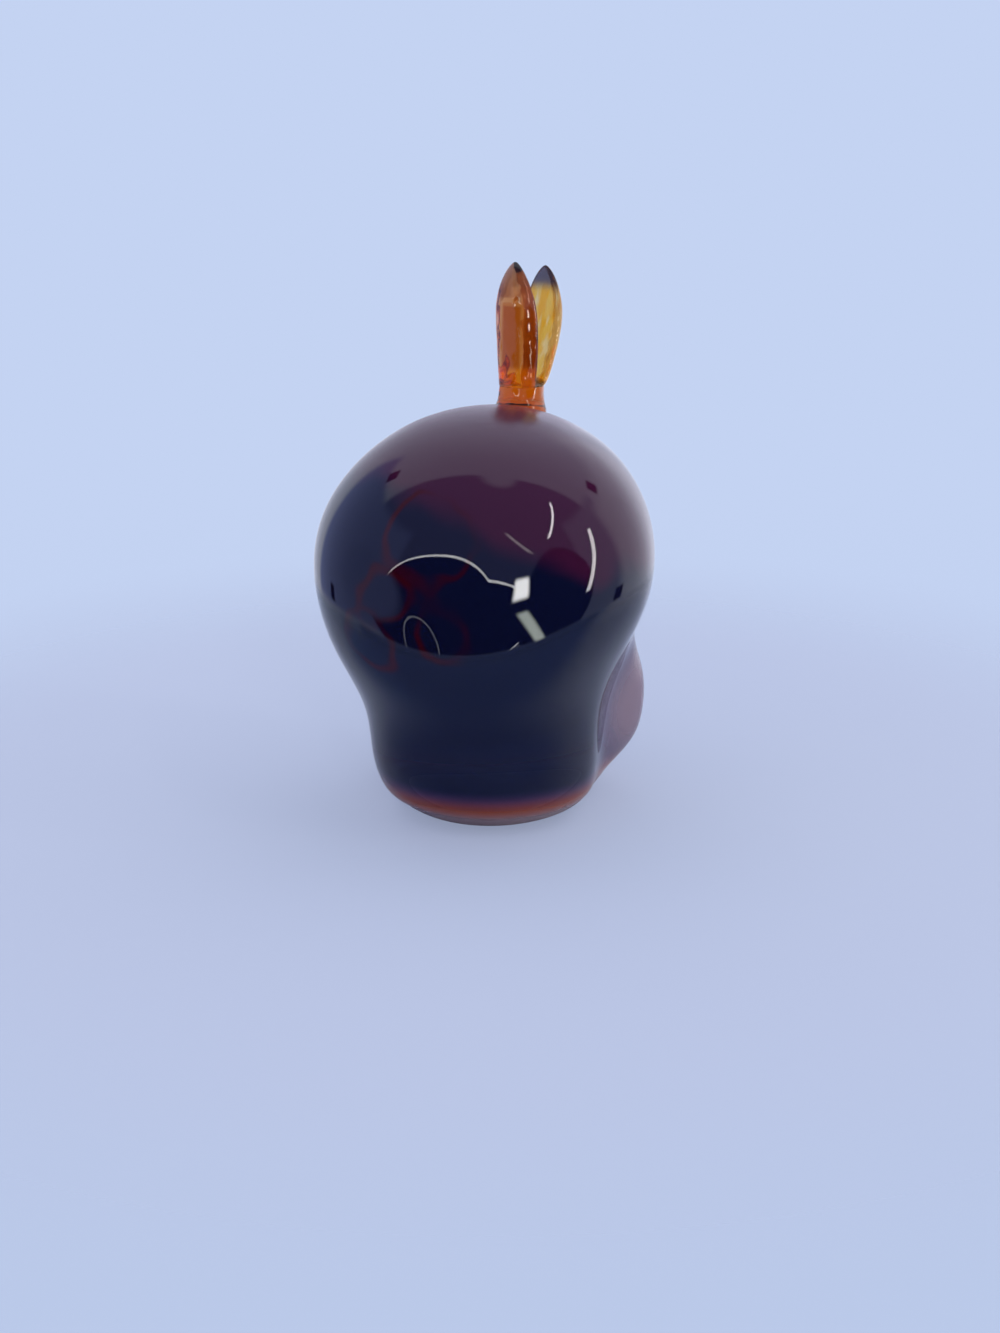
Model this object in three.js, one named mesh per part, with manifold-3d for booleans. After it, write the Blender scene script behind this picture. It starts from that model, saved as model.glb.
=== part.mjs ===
// A glass whale figurine: a solid body of dark ruby glass with a split tail of amber glass on its back.
// Millimetres, +Z up. The nose points along -Y, the tail is towards +Y, and the body rests on Z = 0.
// The origin is below the middle of the body's length, on the surface that the figurine stands on.
import * as THREE from 'three';
import * as BufferGeometryUtils from 'three/addons/utils/BufferGeometryUtils.js';
import Module from 'manifold-3d';

// Body: an oval at each of four levels, the rest, the throat, the head and the crown. A front is measured
// from the datum, an upright plane across the head, and a setback says how far behind the datum the oval is
// widest.
const CROWN_LEVEL = 68;
const CROWN_SETBACK = 9;

const HEAD_WIDTH = 58;
const HEAD_LENGTH = 74;
const HEAD_LEVEL = 43.5;
const HEAD_FRONT = 28;
const HEAD_SETBACK = -1;

// The face comes forward most below the level at which the head is widest.
const FACE_LEVEL = 32;

const THROAT_WIDTH = 39.5;
const THROAT_LENGTH = 50;
const THROAT_LEVEL = 14;
const THROAT_FRONT = 20;
const THROAT_SETBACK = -3;

const REST_WIDTH = 27;
const REST_LENGTH = 33;
const REST_FRONT = 10;
const REST_SETBACK = 8;

// The body stands a little to one side of its rest, as hand-formed glass does.
const REST_SHIFT = 1.2;

// The back stays level for longer than an ellipse before it falls: this ratio is 1 for an ellipse and more
// for a squarer back.
const BACK_FULLNESS_RATIO = 1.2;

// The rear of every oval is drawn in by this share of its width, so that the body tapers to the tail.
const REAR_TAPER_RATIO = 0.15;

// Lobes: the trunk swells sideways behind the throat, steeply along its length and gently up its height.
const LOBE_SWELL = 10;
const LOBE_LEVEL = 16.5;
const LOBE_SETBACK = 17.5;
const LOBE_LENGTH = 22;
const LOBE_HEIGHT = 21;

// Tail: a stem with a flared foot is sunk into the back and leans backwards.
const TAIL_SETBACK = 25.5;
const TAIL_LEAN = THREE.MathUtils.degToRad(12);
const SEAT_DEPTH = 1.6;
const SEAT_GAP = 0.3;
const FOOT_WIDTH = 9.4;
const STEM_WIDTH = 8.2;
const STEM_HEIGHT = 4.5;

// Flukes: two leaves open from the stem, one on each side of a split that is turned about the stem. A leaf
// rises to its widest part and closes in a tip, and its outer face bulges more than its inner one. It
// spreads away from the split at once where its flare is 1, and later where it is less.
const SPLIT_TURN = THREE.MathUtils.degToRad(28);
const FLUKE_ROOT_WIDTH = 7.6;
const TIP_FULLNESS_RATIO = 0.8;

const FRONT_FLUKE_SPREAD = 3.4;
const FRONT_FLUKE_FLARE_RATIO = 0.6;
const FRONT_FLUKE_RISE = 13;
const FRONT_FLUKE_TIP = 8.3;
const FRONT_FLUKE_WIDTH = 8.2;
const FRONT_FLUKE_OUTER = 3;
const FRONT_FLUKE_INNER = 1;

const REAR_FLUKE_SPREAD = 4.6;
const REAR_FLUKE_FLARE_RATIO = 1;
const REAR_FLUKE_RISE = 11;
const REAR_FLUKE_TIP = 9.3;
const REAR_FLUKE_WIDTH = 9.2;
const REAR_FLUKE_OUTER = 2.6;
const REAR_FLUKE_INNER = 0.8;

// Facets around each ring, and rings in each stretch of an outline.
const BODY_SIDES = 80;
const TAIL_SIDES = 24;
const STRETCH_RINGS = 8;

const wasm = await Module();
wasm.setup();

// A unit ring at each level, closed by a point at each end, with every vertex moved to where place says.
function stackOfRings(levels, ends, sides, place) {
  const profile = [new THREE.Vector2(0, ends[0])];
  for (const level of levels) profile.push(new THREE.Vector2(1, level));
  profile.push(new THREE.Vector2(0, ends[1]));
  const lathe = new THREE.LatheGeometry(profile, sides);
  const position = lathe.attributes.position;
  for (let i = 0; i < position.count; i += 1) {
    const moved = place(position.getX(i), -position.getZ(i), position.getY(i));
    position.setXYZ(i, moved.x, moved.y, moved.z);
  }
  lathe.deleteAttribute('normal');
  lathe.deleteAttribute('uv');
  return BufferGeometryUtils.mergeVertices(lathe);
}

// A closed mesh as a solid that can be cut, and back again.
function toSolid(geometry) {
  return new wasm.Manifold(new wasm.Mesh({
    numProp: 3,
    vertProperties: new Float32Array(geometry.attributes.position.array),
    triVerts: new Uint32Array(geometry.index.array),
  }));
}

function toGeometry(solid) {
  const mesh = solid.getMesh();
  const geometry = new THREE.BufferGeometry();
  geometry.setAttribute('position', new THREE.BufferAttribute(mesh.vertProperties, 3));
  geometry.setIndex(new THREE.BufferAttribute(mesh.triVerts, 1));
  return geometry;
}

// Easing between two sizes that starts and ends level.
const ease = (from, to, share) => from + (to - from) * (0.5 - 0.5 * Math.cos(Math.PI * share));

// A quarter of an oval that falls from 1 to 0: a fullness of 1 is a plain ellipse, and more is squarer.
function quarterRound(share, fullness = 1) {
  const power = 2 * fullness;
  return Math.max(0, 1 - Math.max(0, share) ** power) ** (1 / power);
}

// Shares from 0 up to 1, evenly or closing up towards 1, without the last one.
const evenShares = Array.from({ length: STRETCH_RINGS }, (_, i) => i / STRETCH_RINGS);
const closingShares = evenShares.map((share) => Math.sin((Math.PI / 2) * share));

// One size of the body at a level, from its sizes at the rest, the throat and the head.
function bodySize(level, rest, throat, head, headLevel = HEAD_LEVEL) {
  if (level >= headLevel) return head;
  if (level >= THROAT_LEVEL) return ease(throat, head, (level - THROAT_LEVEL) / (headLevel - THROAT_LEVEL));
  return rest + (throat - rest) * quarterRound((THROAT_LEVEL - level) / THROAT_LEVEL);
}

// The body's oval at a level: half its width, where it is widest, and its reach before and behind that.
function bodyOval(level) {
  const rise = Math.max(0, (level - HEAD_LEVEL) / (CROWN_LEVEL - HEAD_LEVEL));
  const closing = quarterRound(rise);
  const faceClosing = quarterRound(Math.max(0, (level - FACE_LEVEL) / (CROWN_LEVEL - FACE_LEVEL)));
  const headWidest = CROWN_SETBACK + closing * (HEAD_SETBACK - CROWN_SETBACK);
  const widest = bodySize(level, REST_SETBACK, THROAT_SETBACK, headWidest);
  const front = bodySize(level, REST_FRONT, THROAT_FRONT, HEAD_FRONT, FACE_LEVEL);
  const length = bodySize(level, REST_LENGTH, THROAT_LENGTH, HEAD_LENGTH);
  return {
    half: closing * bodySize(level, REST_WIDTH, THROAT_WIDTH, HEAD_WIDTH) / 2,
    widest,
    before: faceClosing * (front + widest),
    behind: quarterRound(rise, BACK_FULLNESS_RATIO) * (length - front - widest),
  };
}

// A mound that is 1 at its middle and has faded at half of its length: a power of 2 is a gentle mound, and
// more is flatter on top with steeper flanks.
const mound = (place, middle, length, power) => Math.exp(-(Math.abs((place - middle) / (length / 2)) ** power));

// What the lobes add to the half width at a level and a distance behind the datum.
function lobeSwell(level, setback) {
  return LOBE_SWELL * mound(level, LOBE_LEVEL, LOBE_HEIGHT, 2) * mound(setback, LOBE_SETBACK, LOBE_LENGTH, 4);
}

// The middle of the head's length is over the origin.
const DATUM = HEAD_FRONT - HEAD_LENGTH / 2;

function bodyGeometry() {
  const levels = [
    ...closingShares.map((share) => THROAT_LEVEL * (1 - quarterRound(share))),
    ...evenShares.map((share) => THROAT_LEVEL + (HEAD_LEVEL - THROAT_LEVEL) * share),
    ...closingShares.map((share) => HEAD_LEVEL + (CROWN_LEVEL - HEAD_LEVEL) * share),
  ];
  return stackOfRings(levels, [0, CROWN_LEVEL], BODY_SIDES, (u, v, level) => {
    const oval = bodyOval(level);
    const setback = oval.widest + v * (v < 0 ? oval.before : oval.behind);
    const taper = v < 0 ? 1 : 1 - REAR_TAPER_RATIO * v * v;
    const half = taper * oval.half + lobeSwell(level, setback);
    const shift = ease(REST_SHIFT, 0, Math.min(1, level / HEAD_LEVEL));
    return new THREE.Vector3(u * half + shift, DATUM + setback, level);
  });
}

// The level of the back, on the middle plane, a distance behind the datum.
function backLevel(setback) {
  let low = HEAD_LEVEL;
  let high = CROWN_LEVEL;
  while (high - low > SEAT_GAP / 1000) {
    const middle = (low + high) / 2;
    const oval = bodyOval(middle);
    if (oval.widest + oval.behind > setback) low = middle;
    else high = middle;
  }
  return low;
}

// The seat's floor slopes as the back does across the foot.
const FOOT_START = backLevel(TAIL_SETBACK - FOOT_WIDTH / 2);
const FOOT_END = backLevel(TAIL_SETBACK + FOOT_WIDTH / 2);
const SEAT_SLOPE = (FOOT_START - FOOT_END) / FOOT_WIDTH;
const SEAT_LEVEL = (FOOT_START + FOOT_END) / 2 - SEAT_DEPTH;
const STEM_BOTTOM = SEAT_LEVEL + SEAT_GAP;
const FLUKE_BOTTOM = STEM_BOTTOM + STEM_HEIGHT + SEAT_GAP;

// Where the tail's middle line is at a level: it leans backwards from its foot.
const tailMiddle = (level) => DATUM + TAIL_SETBACK + (level - STEM_BOTTOM) * Math.tan(TAIL_LEAN);

function stemGeometry() {
  const levels = [...evenShares, 1].map((share) => STEM_BOTTOM + STEM_HEIGHT * share);
  return stackOfRings(levels, [levels[0], levels.at(-1)], TAIL_SIDES, (u, v, level) => {
    const share = (level - STEM_BOTTOM) / STEM_HEIGHT;
    const half = ease(FOOT_WIDTH, STEM_WIDTH, share) / 2;
    const drop = (1 - share) * SEAT_SLOPE * v * half;
    return new THREE.Vector3(u * half, tailMiddle(level) + v * half, level - drop);
  });
}

// One leaf. Side is 1 for the front one and -1 for the rear one.
function flukeGeometry(side, spread, flare, rise, tip, width, outer, inner) {
  const outward = new THREE.Vector2(-Math.sin(SPLIT_TURN), -Math.cos(SPLIT_TURN)).multiplyScalar(side);
  const across = new THREE.Vector2(-outward.y, outward.x);
  const rootOffset = inner + SEAT_GAP / 2;
  const levels = [
    ...evenShares.map((share) => FLUKE_BOTTOM + rise * share),
    ...closingShares.map((share) => FLUKE_BOTTOM + rise + tip * share),
  ];
  return stackOfRings(levels, [FLUKE_BOTTOM, FLUKE_BOTTOM + rise + tip], TAIL_SIDES, (u, v, level) => {
    const height = level - FLUKE_BOTTOM;
    const closing = quarterRound(Math.max(0, (height - rise) / tip), TIP_FULLNESS_RATIO);
    const half = closing * ease(FLUKE_ROOT_WIDTH, width, Math.min(1, height / rise)) / 2;
    const opening = quarterRound(1 - height / (rise + tip), flare);
    const offset = rootOffset + (spread - rootOffset) * opening;
    const point = outward.clone().multiplyScalar(offset - v * closing * (v < 0 ? outer : inner));
    point.addScaledVector(across, u * half);
    return new THREE.Vector3(point.x, tailMiddle(level) + point.y, level);
  });
}

// The seat in the back: the foot's own outline with a gap around it, cut down to the seat's floor.
function seatGeometry() {
  const half = FOOT_WIDTH / 2 + SEAT_GAP;
  const levels = [SEAT_LEVEL, CROWN_LEVEL];
  return stackOfRings(levels, levels, TAIL_SIDES, (u, v, level) => {
    const drop = SEAT_SLOPE * v * half;
    return new THREE.Vector3(u * half, tailMiddle(level) + v * half, level - drop);
  });
}

function glassPiece(name, geometry, colour) {
  const material = new THREE.MeshStandardMaterial({ color: colour, roughness: 0.05, metalness: 0 });
  const mesh = new THREE.Mesh(geometry, material);
  mesh.name = name;
  return mesh;
}

const bodyWithSeat = toGeometry(toSolid(bodyGeometry()).subtract(toSolid(seatGeometry())));
const frontFluke = flukeGeometry(
  1,
  FRONT_FLUKE_SPREAD,
  FRONT_FLUKE_FLARE_RATIO,
  FRONT_FLUKE_RISE,
  FRONT_FLUKE_TIP,
  FRONT_FLUKE_WIDTH,
  FRONT_FLUKE_OUTER,
  FRONT_FLUKE_INNER,
);
const rearFluke = flukeGeometry(
  -1,
  REAR_FLUKE_SPREAD,
  REAR_FLUKE_FLARE_RATIO,
  REAR_FLUKE_RISE,
  REAR_FLUKE_TIP,
  REAR_FLUKE_WIDTH,
  REAR_FLUKE_OUTER,
  REAR_FLUKE_INNER,
);

const whale = new THREE.Group();
whale.add(glassPiece('body', bodyWithSeat, 0x3a1420));
whale.add(glassPiece('tail_stem', stemGeometry(), 0xb4550c));
whale.add(glassPiece('front_fluke', frontFluke, 0xa8551c));
whale.add(glassPiece('rear_fluke', rearFluke, 0xd09a30));

export default whale;
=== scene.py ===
"""Looks for a glass whale figurine: a solid ruby body and a split amber tail, in a plain light studio."""

import logging
import math
from dataclasses import dataclass, field
from enum import Enum
from typing import Callable

import bmesh
import bpy
from mathutils import Euler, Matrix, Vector

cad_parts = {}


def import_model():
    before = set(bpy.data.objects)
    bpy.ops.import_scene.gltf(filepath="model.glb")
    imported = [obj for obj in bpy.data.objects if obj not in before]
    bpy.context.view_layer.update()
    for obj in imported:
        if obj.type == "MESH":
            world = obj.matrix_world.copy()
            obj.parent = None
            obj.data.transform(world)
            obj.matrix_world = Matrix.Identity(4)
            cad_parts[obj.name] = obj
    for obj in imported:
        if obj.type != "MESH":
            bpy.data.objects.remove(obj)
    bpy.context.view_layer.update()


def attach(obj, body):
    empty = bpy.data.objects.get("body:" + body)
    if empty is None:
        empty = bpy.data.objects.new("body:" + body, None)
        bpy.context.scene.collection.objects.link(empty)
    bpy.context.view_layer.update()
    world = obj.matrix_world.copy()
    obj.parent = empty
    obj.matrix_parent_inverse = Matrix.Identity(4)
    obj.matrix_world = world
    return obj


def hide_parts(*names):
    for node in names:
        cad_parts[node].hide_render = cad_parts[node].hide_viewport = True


MM = 0.001
# Points nearer than this, in metres, are at the same place.
TOUCH = 1e-7
# A row of a ring's points is found to within this share of the ring's radius.
ROW_SHARE = 1e-3
# Edges that turn more than this stay sharp.
CREASE = math.radians(35)
# The sockets of a Mix node that take and give colours; its other sockets have the same names.
UNDER, OVER, MIXED = 6, 7, 2
log = logging.getLogger("glass_whale")


class Slot(Enum):
    """The record's material slots."""

    RUBY = "ruby_glass"
    AMBER = "amber_glass"


class Measure(Enum):
    """The measures of the body at one level, by their place in its sizes."""

    WIDTH = 0
    LENGTH = 1
    FRONT = 2
    SETBACK = 3


def linear(hex_colour: str) -> tuple[float, float, float, float]:
    """Turns an sRGB hex colour into a linear one.

    Args:
        hex_colour: Six hex digits, with or without a leading hash.

    Returns:
        Linear red, green and blue, and an alpha of 1.
    """
    digits = hex_colour.lstrip("#")
    shares = [int(digits[i:i + 2], 16) / 255 for i in (0, 2, 4)]
    return (*(c / 12.92 if c <= 0.04045 else ((c + 0.055) / 1.055) ** 2.4 for c in shares), 1.0)


def add_node(tree: bpy.types.NodeTree, kind: str, sockets: dict | None = None, **settings) -> bpy.types.Node:
    """Adds a node with its settings, values and links.

    Args:
        tree: The node tree to add to.
        kind: The node's type name.
        sockets: Input socket names or numbers, each with a value or an output socket to link from.
        **settings: Properties of the node itself.

    Returns:
        The new node.
    """
    node = tree.nodes.new(kind)
    for name, value in settings.items():
        setattr(node, name, value)
    for name, value in (sockets or {}).items():
        if isinstance(value, bpy.types.NodeSocket):
            tree.links.new(value, node.inputs[name])
        else:
            node.inputs[name].default_value = value
    return node


def ease(start: float, end: float, share: float) -> float:
    """Eases from one size to another, level at both ends."""
    return start + (end - start) * (0.5 - 0.5 * math.cos(math.pi * share))


def quarter_round(share: float, fullness: float = 1.0) -> float:
    """Falls from 1 to 0 along a quarter of an oval; a fullness of 1 is an ellipse, and more is squarer."""
    power = 2 * fullness
    return max(0.0, 1 - max(0.0, share) ** power) ** (1 / power)


def mound(place: float, middle: float, length: float, power: int) -> float:
    """Gives a mound that is 1 at its middle and fades within half of its length, flatter with more power."""
    return math.exp(-abs((place - middle) / (length / 2)) ** power)


@dataclass(frozen=True)
class Skin:
    """What changes over a glass surface: its colour, which holds painted light and shade as well as the
    glass's own colour, its clearness and its added roughness.
    """

    colour: bpy.types.NodeSocket
    clear: bpy.types.NodeSocket | float
    satin: bpy.types.NodeSocket | float = 0.0


@dataclass(frozen=True)
class PolishedGlass:
    """Solid soda glass, fire-polished: a wet gloss outside, and a colour that deepens with the light's path.

    Nearly all the light that enters goes through, and the small rest comes back as the colour laid on the
    surface, which holds painted light and shade as well as the glass's own colour.
    """

    name: str
    absorb_hex: str
    absorb_per_m: float
    clear_share: float
    ior: float = 1.5
    roughness: float = 0.008
    ripple_mm: float = 9.0
    ripple_depth_mm: float = 0.03
    smear_mm: float = 14.0
    smear_span: tuple[float, float] = (0.4, 0.7)
    smear_gain: float = 2.5

    def skin(self, tree: bpy.types.NodeTree, place: bpy.types.NodeSocket) -> Skin:
        """Gives what changes over the surface.

        Args:
            tree: The material's node tree.
            place: Object coordinates.

        Returns:
            The surface's colour, clearness and satin.
        """
        raise NotImplementedError

    def make(self) -> bpy.types.Material:
        """Builds the node material.

        Returns:
            A material on Object coordinates.
        """
        material = bpy.data.materials.new(self.name)
        material.use_nodes = True
        tree = material.node_tree
        tree.nodes.clear()
        place = add_node(tree, "ShaderNodeTexCoord").outputs["Object"]
        skin = self.skin(tree, place)
        # Hand-formed glass is never quite even: slow ripples bend its reflections.
        ripple = add_node(tree, "ShaderNodeTexNoise", {
            "Vector": place, "Scale": 1 / (self.ripple_mm * MM), "Detail": 1.0, "Roughness": 0.4})
        bump = add_node(tree, "ShaderNodeBump", {
            "Height": ripple.outputs["Fac"], "Strength": 1.0, "Distance": self.ripple_depth_mm * MM})
        # Handling leaves a faint unevenness in the gloss.
        smear = add_node(tree, "ShaderNodeTexNoise", {
            "Vector": place, "Scale": 1 / (self.smear_mm * MM), "Detail": 2.0, "Roughness": 0.5})
        gloss = add_node(tree, "ShaderNodeMapRange", {
            "Value": smear.outputs["Fac"], "From Min": self.smear_span[0], "From Max": self.smear_span[1],
            "To Min": self.roughness, "To Max": self.roughness * self.smear_gain})
        roughness = add_node(tree, "ShaderNodeMath", {0: skin.satin, 1: gloss.outputs["Result"]},
                             operation="ADD")
        shader = add_node(tree, "ShaderNodeBsdfPrincipled", {
            "Base Color": skin.colour, "Roughness": roughness.outputs[0], "IOR": self.ior,
            "Transmission Weight": skin.clear, "Normal": bump.outputs["Normal"]})
        depth = add_node(tree, "ShaderNodeVolumeAbsorption", {
            "Color": linear(self.absorb_hex), "Density": self.absorb_per_m})
        add_node(tree, "ShaderNodeOutputMaterial", {
            "Surface": shader.outputs["BSDF"], "Volume": depth.outputs["Volume"]})
        return material


@dataclass(frozen=True)
class RubyGlass(PolishedGlass):
    """The body's glass: painted light makes the crown maroon and painted shade makes the thick core inky,
    with red cords painted glowing, and painted light on the lobes and the bottom edge.
    """

    # Painted light at the crown, and painted shade in the core.
    crown_light_hex: str = "#F868D2"
    core_shade_hex: str = "#4C60C4"
    # A painted red glow on the cords.
    cord_glow_hex: str = "#FF2038"
    # Painted light on the lobes.
    lobe_light_hex: str = "#E8C8DC"
    # A painted orange glow, and a painted image of the floor, at the bottom edge.
    glow_hex: str = "#D8602C"
    rim_floor_image_hex: str = "#BCA0A6"
    core_top_mm: tuple[float, float] = (51.0, 56.0)
    core_tilt: float = 0.32
    core_cloud_mm: float = 20.0
    core_wander_mm: float = 16.0
    veil_mm: tuple[float, float] = (62.0, 66.5)
    veil_roughness: float = 0.24
    lobe_light_clear: float = 0.66
    lobe_side_mm: tuple[float, float] = (15.0, 22.0)
    lobe_middle_mm: tuple[float, float] = (4.0, 17.0)
    lobe_reach_mm: tuple[float, float] = (15.0, 17.0)
    lobe_edge: tuple[float, float] = (0.25, 1.15)
    glow_mm: tuple[float, float] = (5.0, 9.5)
    glow_clear: float = 0.6
    rim_mm: tuple[float, float] = (2.6, 6.0)
    rim_clear: float = 0.32
    rim_roughness: float = 0.3
    cord_mm: tuple[float, float] = (0.1, 1.1)
    cord_share: float = 0.85
    cord_swirl_mm: float = 7.0
    cord_swing_mm: float = 4.0
    cord_fade_mm: float = 9.0
    cord_fade_span: tuple[float, float] = (0.35, 0.65)
    cord_faint: float = 0.15
    cord_front_mm: tuple[float, float] = (-18.0, -8.0)
    loops_mm: tuple[tuple[float, float, float], ...] = (
        (-8.4, 42.6, 4.2), (-3.0, 52.0, 6.6), (-11.0, 35.5, 4.0), (1.5, 38.0, 4.5))

    def skin(self, tree: bpy.types.NodeTree, place: bpy.types.NodeSocket) -> Skin:
        """Lays the painted shade of the core, the painted light of the crown, the cords' painted glow, the
        painted light on the lobes, and the painted glow and floor image at the ground edge over each other.

        Args:
            tree: The material's node tree.
            place: Object coordinates.

        Returns:
            The surface's colour, clearness and satin.
        """
        axes = add_node(tree, "ShaderNodeSeparateXYZ", {"Vector": place})
        colour = self._cord_glows(tree, place, axes, self._shaded_core(tree, place, axes))
        # Painted light on the lobes: a pale, less clear soft oval on each side stands for the light through
        # their thinner glass and the bright tent wall that they mirror.
        sideways = add_node(tree, "ShaderNodeMath", {0: axes.outputs["X"]}, operation="ABSOLUTE")
        outward = add_node(tree, "ShaderNodeMapRange", {
            "Value": sideways.outputs[0], "From Min": self.lobe_side_mm[0] * MM,
            "From Max": self.lobe_side_mm[1] * MM}, interpolation_type="SMOOTHSTEP")
        (y, z), (along, up) = self.lobe_middle_mm, self.lobe_reach_mm
        from_middle = add_node(tree, "ShaderNodeVectorMath", {
            0: place, 1: (0.0, 1 / (along * MM), 1 / (up * MM)), 2: (0.0, -y / along, -z / up)},
            operation="MULTIPLY_ADD")
        away = add_node(tree, "ShaderNodeVectorMath", {0: from_middle.outputs["Vector"]}, operation="LENGTH")
        oval = add_node(tree, "ShaderNodeMapRange", {
            "Value": away.outputs["Value"], "From Min": self.lobe_edge[0], "From Max": self.lobe_edge[1],
            "To Min": 1.0, "To Max": 0.0}, interpolation_type="SMOOTHSTEP")
        lobes = add_node(tree, "ShaderNodeMath", {0: outward.outputs["Result"], 1: oval.outputs["Result"]},
                         operation="MULTIPLY").outputs[0]
        colour = add_node(tree, "ShaderNodeMix", {
            "Factor": lobes, UNDER: colour, OVER: linear(self.lobe_light_hex)}, data_type="RGBA").outputs[MIXED]
        clear = add_node(tree, "ShaderNodeMapRange", {
            "Value": lobes, "To Min": self.clear_share, "To Max": self.lobe_light_clear}).outputs["Result"]
        # Above the rest the glass is thin: a painted orange glow stands for the light through it. The very
        # edge was ground, so it is satin, and its brownish grey is a painted image of the floor seen through
        # the thin edge.
        bands = ((self.glow_mm, self.glow_hex, self.glow_clear), (self.rim_mm, self.rim_floor_image_hex, self.rim_clear))
        for (low_mm, high_mm), tint, share in bands:
            band = add_node(tree, "ShaderNodeMapRange", {
                "Value": axes.outputs["Z"], "From Min": low_mm * MM, "From Max": high_mm * MM,
                "To Min": 1.0, "To Max": 0.0}, interpolation_type="SMOOTHSTEP").outputs["Result"]
            colour = add_node(tree, "ShaderNodeMix", {
                "Factor": band, UNDER: colour, OVER: linear(tint)}, data_type="RGBA").outputs[MIXED]
            clear = add_node(tree, "ShaderNodeMapRange", {
                "Value": band, "To Min": clear, "To Max": share}).outputs["Result"]
        # A thin veil of dust softens the gloss of the crown, which faces up.
        veil = add_node(tree, "ShaderNodeMapRange", {
            "Value": axes.outputs["Z"], "From Min": self.veil_mm[0] * MM, "From Max": self.veil_mm[1] * MM,
            "To Min": 0.0, "To Max": self.veil_roughness}, interpolation_type="SMOOTHSTEP")
        satin = add_node(tree, "ShaderNodeMath", {0: band, 1: self.rim_roughness, 2: veil.outputs["Result"]},
                         operation="MULTIPLY_ADD")
        return Skin(colour, clear, satin.outputs[0])

    def _shaded_core(self, tree: bpy.types.NodeTree, place: bpy.types.NodeSocket,
              axes: bpy.types.Node) -> bpy.types.NodeSocket:
        """Ends the painted shade of the core in a wandering, tilted edge below the crown's painted light.

        Args:
            tree: The material's node tree.
            place: Object coordinates.
            axes: The node that parts them.

        Returns:
            A colour output.
        """
        cloud = add_node(tree, "ShaderNodeTexNoise", {
            "Vector": place, "Scale": 1 / (self.core_cloud_mm * MM), "Detail": 2.0, "Roughness": 0.5,
            "Distortion": 0.4})
        wander = add_node(tree, "ShaderNodeMapRange", {
            "Value": cloud.outputs["Fac"], "To Min": -self.core_wander_mm / 2 * MM,
            "To Max": self.core_wander_mm / 2 * MM})
        tilted = add_node(tree, "ShaderNodeMath", {
            0: axes.outputs["X"], 1: self.core_tilt, 2: axes.outputs["Z"]}, operation="MULTIPLY_ADD")
        edge = add_node(tree, "ShaderNodeMath", {0: tilted.outputs[0], 1: wander.outputs["Result"]},
                        operation="ADD")
        crown = add_node(tree, "ShaderNodeMapRange", {
            "Value": edge.outputs[0], "From Min": self.core_top_mm[0] * MM,
            "From Max": self.core_top_mm[1] * MM}, interpolation_type="SMOOTHSTEP")
        # Painted shade in the core below, painted light from above at the crown.
        return add_node(tree, "ShaderNodeMix", {
            "Factor": crown.outputs["Result"], UNDER: linear(self.core_shade_hex), OVER: linear(self.crown_light_hex)},
            data_type="RGBA").outputs[MIXED]

    def _cord_glows(self, tree: bpy.types.NodeTree, place: bpy.types.NodeSocket, axes: bpy.types.Node,
               colour: bpy.types.NodeSocket) -> bpy.types.NodeSocket:
        """Draws the red cords with a painted glow, for the light focused through the glass along them: soft
        loops left by the gather's turning, on one side of the core.

        Args:
            tree: The material's node tree.
            place: Object coordinates.
            axes: The node that parts them.
            colour: The colour under the cords.

        Returns:
            A colour output.
        """
        flat = add_node(tree, "ShaderNodeVectorMath", {0: place, 1: (1.0, 0.0, 1.0)}, operation="MULTIPLY")
        swirl = add_node(tree, "ShaderNodeTexNoise", {
            "Vector": place, "Scale": 1 / (self.cord_swirl_mm * MM), "Detail": 1.0, "Roughness": 0.5})
        wander = add_node(tree, "ShaderNodeMapRange", {
            "Value": swirl.outputs["Fac"], "To Min": -self.cord_swing_mm * MM,
            "To Max": self.cord_swing_mm * MM})
        # A cord shows where it comes near the front of the glass, and fades where it goes deeper.
        depth = add_node(tree, "ShaderNodeTexNoise", {
            "Vector": place, "Scale": 1 / (self.cord_fade_mm * MM), "Detail": 0.0})
        fading = add_node(tree, "ShaderNodeMapRange", {
            "Value": depth.outputs["Fac"], "From Min": self.cord_fade_span[0],
            "From Max": self.cord_fade_span[1], "To Min": self.cord_faint, "To Max": 1.0})
        behind = add_node(tree, "ShaderNodeMapRange", {
            "Value": axes.outputs["Y"], "From Min": self.cord_front_mm[0] * MM,
            "From Max": self.cord_front_mm[1] * MM, "To Min": 1.0, "To Max": 0.0})
        shown = add_node(tree, "ShaderNodeMath", {0: fading.outputs["Result"], 1: behind.outputs["Result"]},
                         operation="MULTIPLY")
        for x, z, radius in self.loops_mm:
            away = add_node(tree, "ShaderNodeVectorMath", {
                0: flat.outputs["Vector"], 1: (x * MM, 0.0, z * MM)}, operation="DISTANCE")
            uneven = add_node(tree, "ShaderNodeMath", {
                0: away.outputs["Value"], 1: wander.outputs["Result"]}, operation="ADD")
            off = add_node(tree, "ShaderNodeMath", {0: uneven.outputs[0], 1: radius * MM},
                           operation="SUBTRACT")
            line = add_node(tree, "ShaderNodeMath", {0: off.outputs[0]}, operation="ABSOLUTE")
            cord = add_node(tree, "ShaderNodeMapRange", {
                "Value": line.outputs[0], "From Min": self.cord_mm[0] * MM, "From Max": self.cord_mm[1] * MM,
                "To Min": self.cord_share, "To Max": 0.0}, interpolation_type="SMOOTHSTEP")
            cords = add_node(tree, "ShaderNodeMath", {0: cord.outputs["Result"], 1: shown.outputs[0]},
                             operation="MULTIPLY")
            # The cords' red is a painted glow of light focused through the glass.
            colour = add_node(tree, "ShaderNodeMix", {
                "Factor": cords.outputs[0], UNDER: colour, OVER: linear(self.cord_glow_hex)},
                data_type="RGBA").outputs[MIXED]
        return colour


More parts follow.
